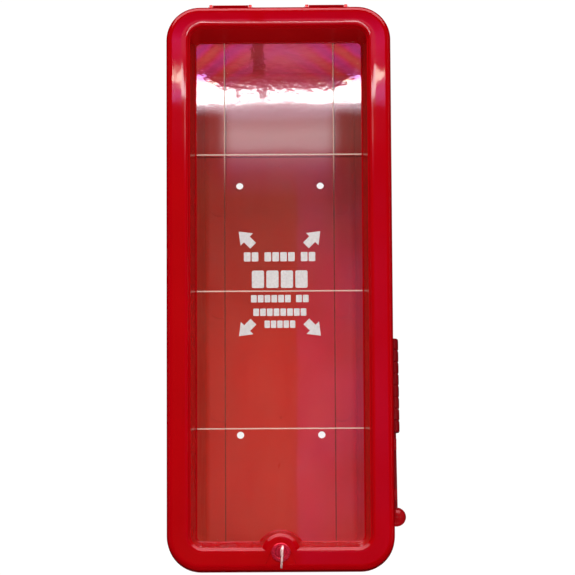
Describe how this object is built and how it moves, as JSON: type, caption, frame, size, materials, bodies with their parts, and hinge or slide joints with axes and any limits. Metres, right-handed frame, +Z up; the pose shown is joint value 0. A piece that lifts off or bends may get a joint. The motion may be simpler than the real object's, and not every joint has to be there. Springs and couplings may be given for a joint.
{
  "type": "fire extinguisher cabinet",
  "caption": "Wall-mounted moulded fire-equipment cabinet with a top-hinged cover, a scored break-out window, a keyed cam lock and a striker hammer on its side.",
  "frame": {"origin": "centre of the tub's flat back, which meets the wall", "axes": "+Y into the wall, so the window faces -Y; +Z up; +X to the viewer's right, where the hammer hangs"},
  "size_m": [0.2558, 0.2107, 0.6225],
  "materials": {
    "red_plastic": "glossy moulded red",
    "clear_plastic": "clear scored plastic",
    "retainer_plastic": "satin moulded red",
    "plated_steel": "zinc plated",
    "lock_metal": "polished plated"
  },
  "bodies": {
    "tub": {"tub": "red_plastic", "hinge_pin_left": "plated_steel", "hinge_pin_right": "plated_steel", "keeper": "plated_steel", "keeper_rivet_left": "plated_steel", "keeper_rivet_right": "plated_steel", "hammer_clip_upper": "red_plastic", "hammer_clip_lower": "red_plastic", "clip_rivet_upper_front": "plated_steel", "clip_rivet_upper_rear": "plated_steel", "clip_rivet_lower_front": "plated_steel", "clip_rivet_lower_rear": "plated_steel"},
    "cover": {"cover_frame": "red_plastic", "window_panel": "clear_plastic", "retainer_left": "retainer_plastic", "retainer_right": "retainer_plastic", "retainer_bottom": "retainer_plastic", "retainer_top": "retainer_plastic", "retainer_screw_left_1": "plated_steel", "retainer_screw_left_2": "plated_steel", "retainer_screw_left_3": "plated_steel", "retainer_screw_left_4": "plated_steel", "retainer_screw_right_1": "plated_steel", "retainer_screw_right_2": "plated_steel", "retainer_screw_right_3": "plated_steel", "retainer_screw_right_4": "plated_steel", "retainer_screw_bottom_1": "plated_steel", "retainer_screw_bottom_2": "plated_steel", "retainer_screw_top_1": "plated_steel", "retainer_screw_top_2": "plated_steel", "lock_body": "lock_metal", "lock_washer": "plated_steel", "lock_nut": "plated_steel"},
    "lock": {"lock_plug": "lock_metal", "cam": "plated_steel", "cam_screw": "plated_steel"},
    "key": {"key": "lock_metal"},
    "hammer": {"hammer_grip": "red_plastic", "hammer_shank": "red_plastic", "hammer_ball": "red_plastic"}
  },
  "joints": [
    {"name": "cover_hinge", "type": "hinge", "parent": "tub", "child": "cover", "pos_m": [0, -0.134, 0.312], "axis": [-1, 0, 0], "range_deg": [0, 110]},
    {"name": "lock_turn", "type": "hinge", "parent": "cover", "child": "lock", "pos_m": [0, -0.184, -0.2862], "axis": [0, 1, 0], "range_deg": [0, 90]},
    {"name": "key_pull", "type": "slide", "parent": "lock", "child": "key", "axis": [0, -1, 0], "range_m": [0, 0.03]},
    {"name": "hammer_release", "type": "slide", "parent": "tub", "child": "hammer", "axis": [1, 0, 0], "range_m": [0, 0.05]}
  ]
}
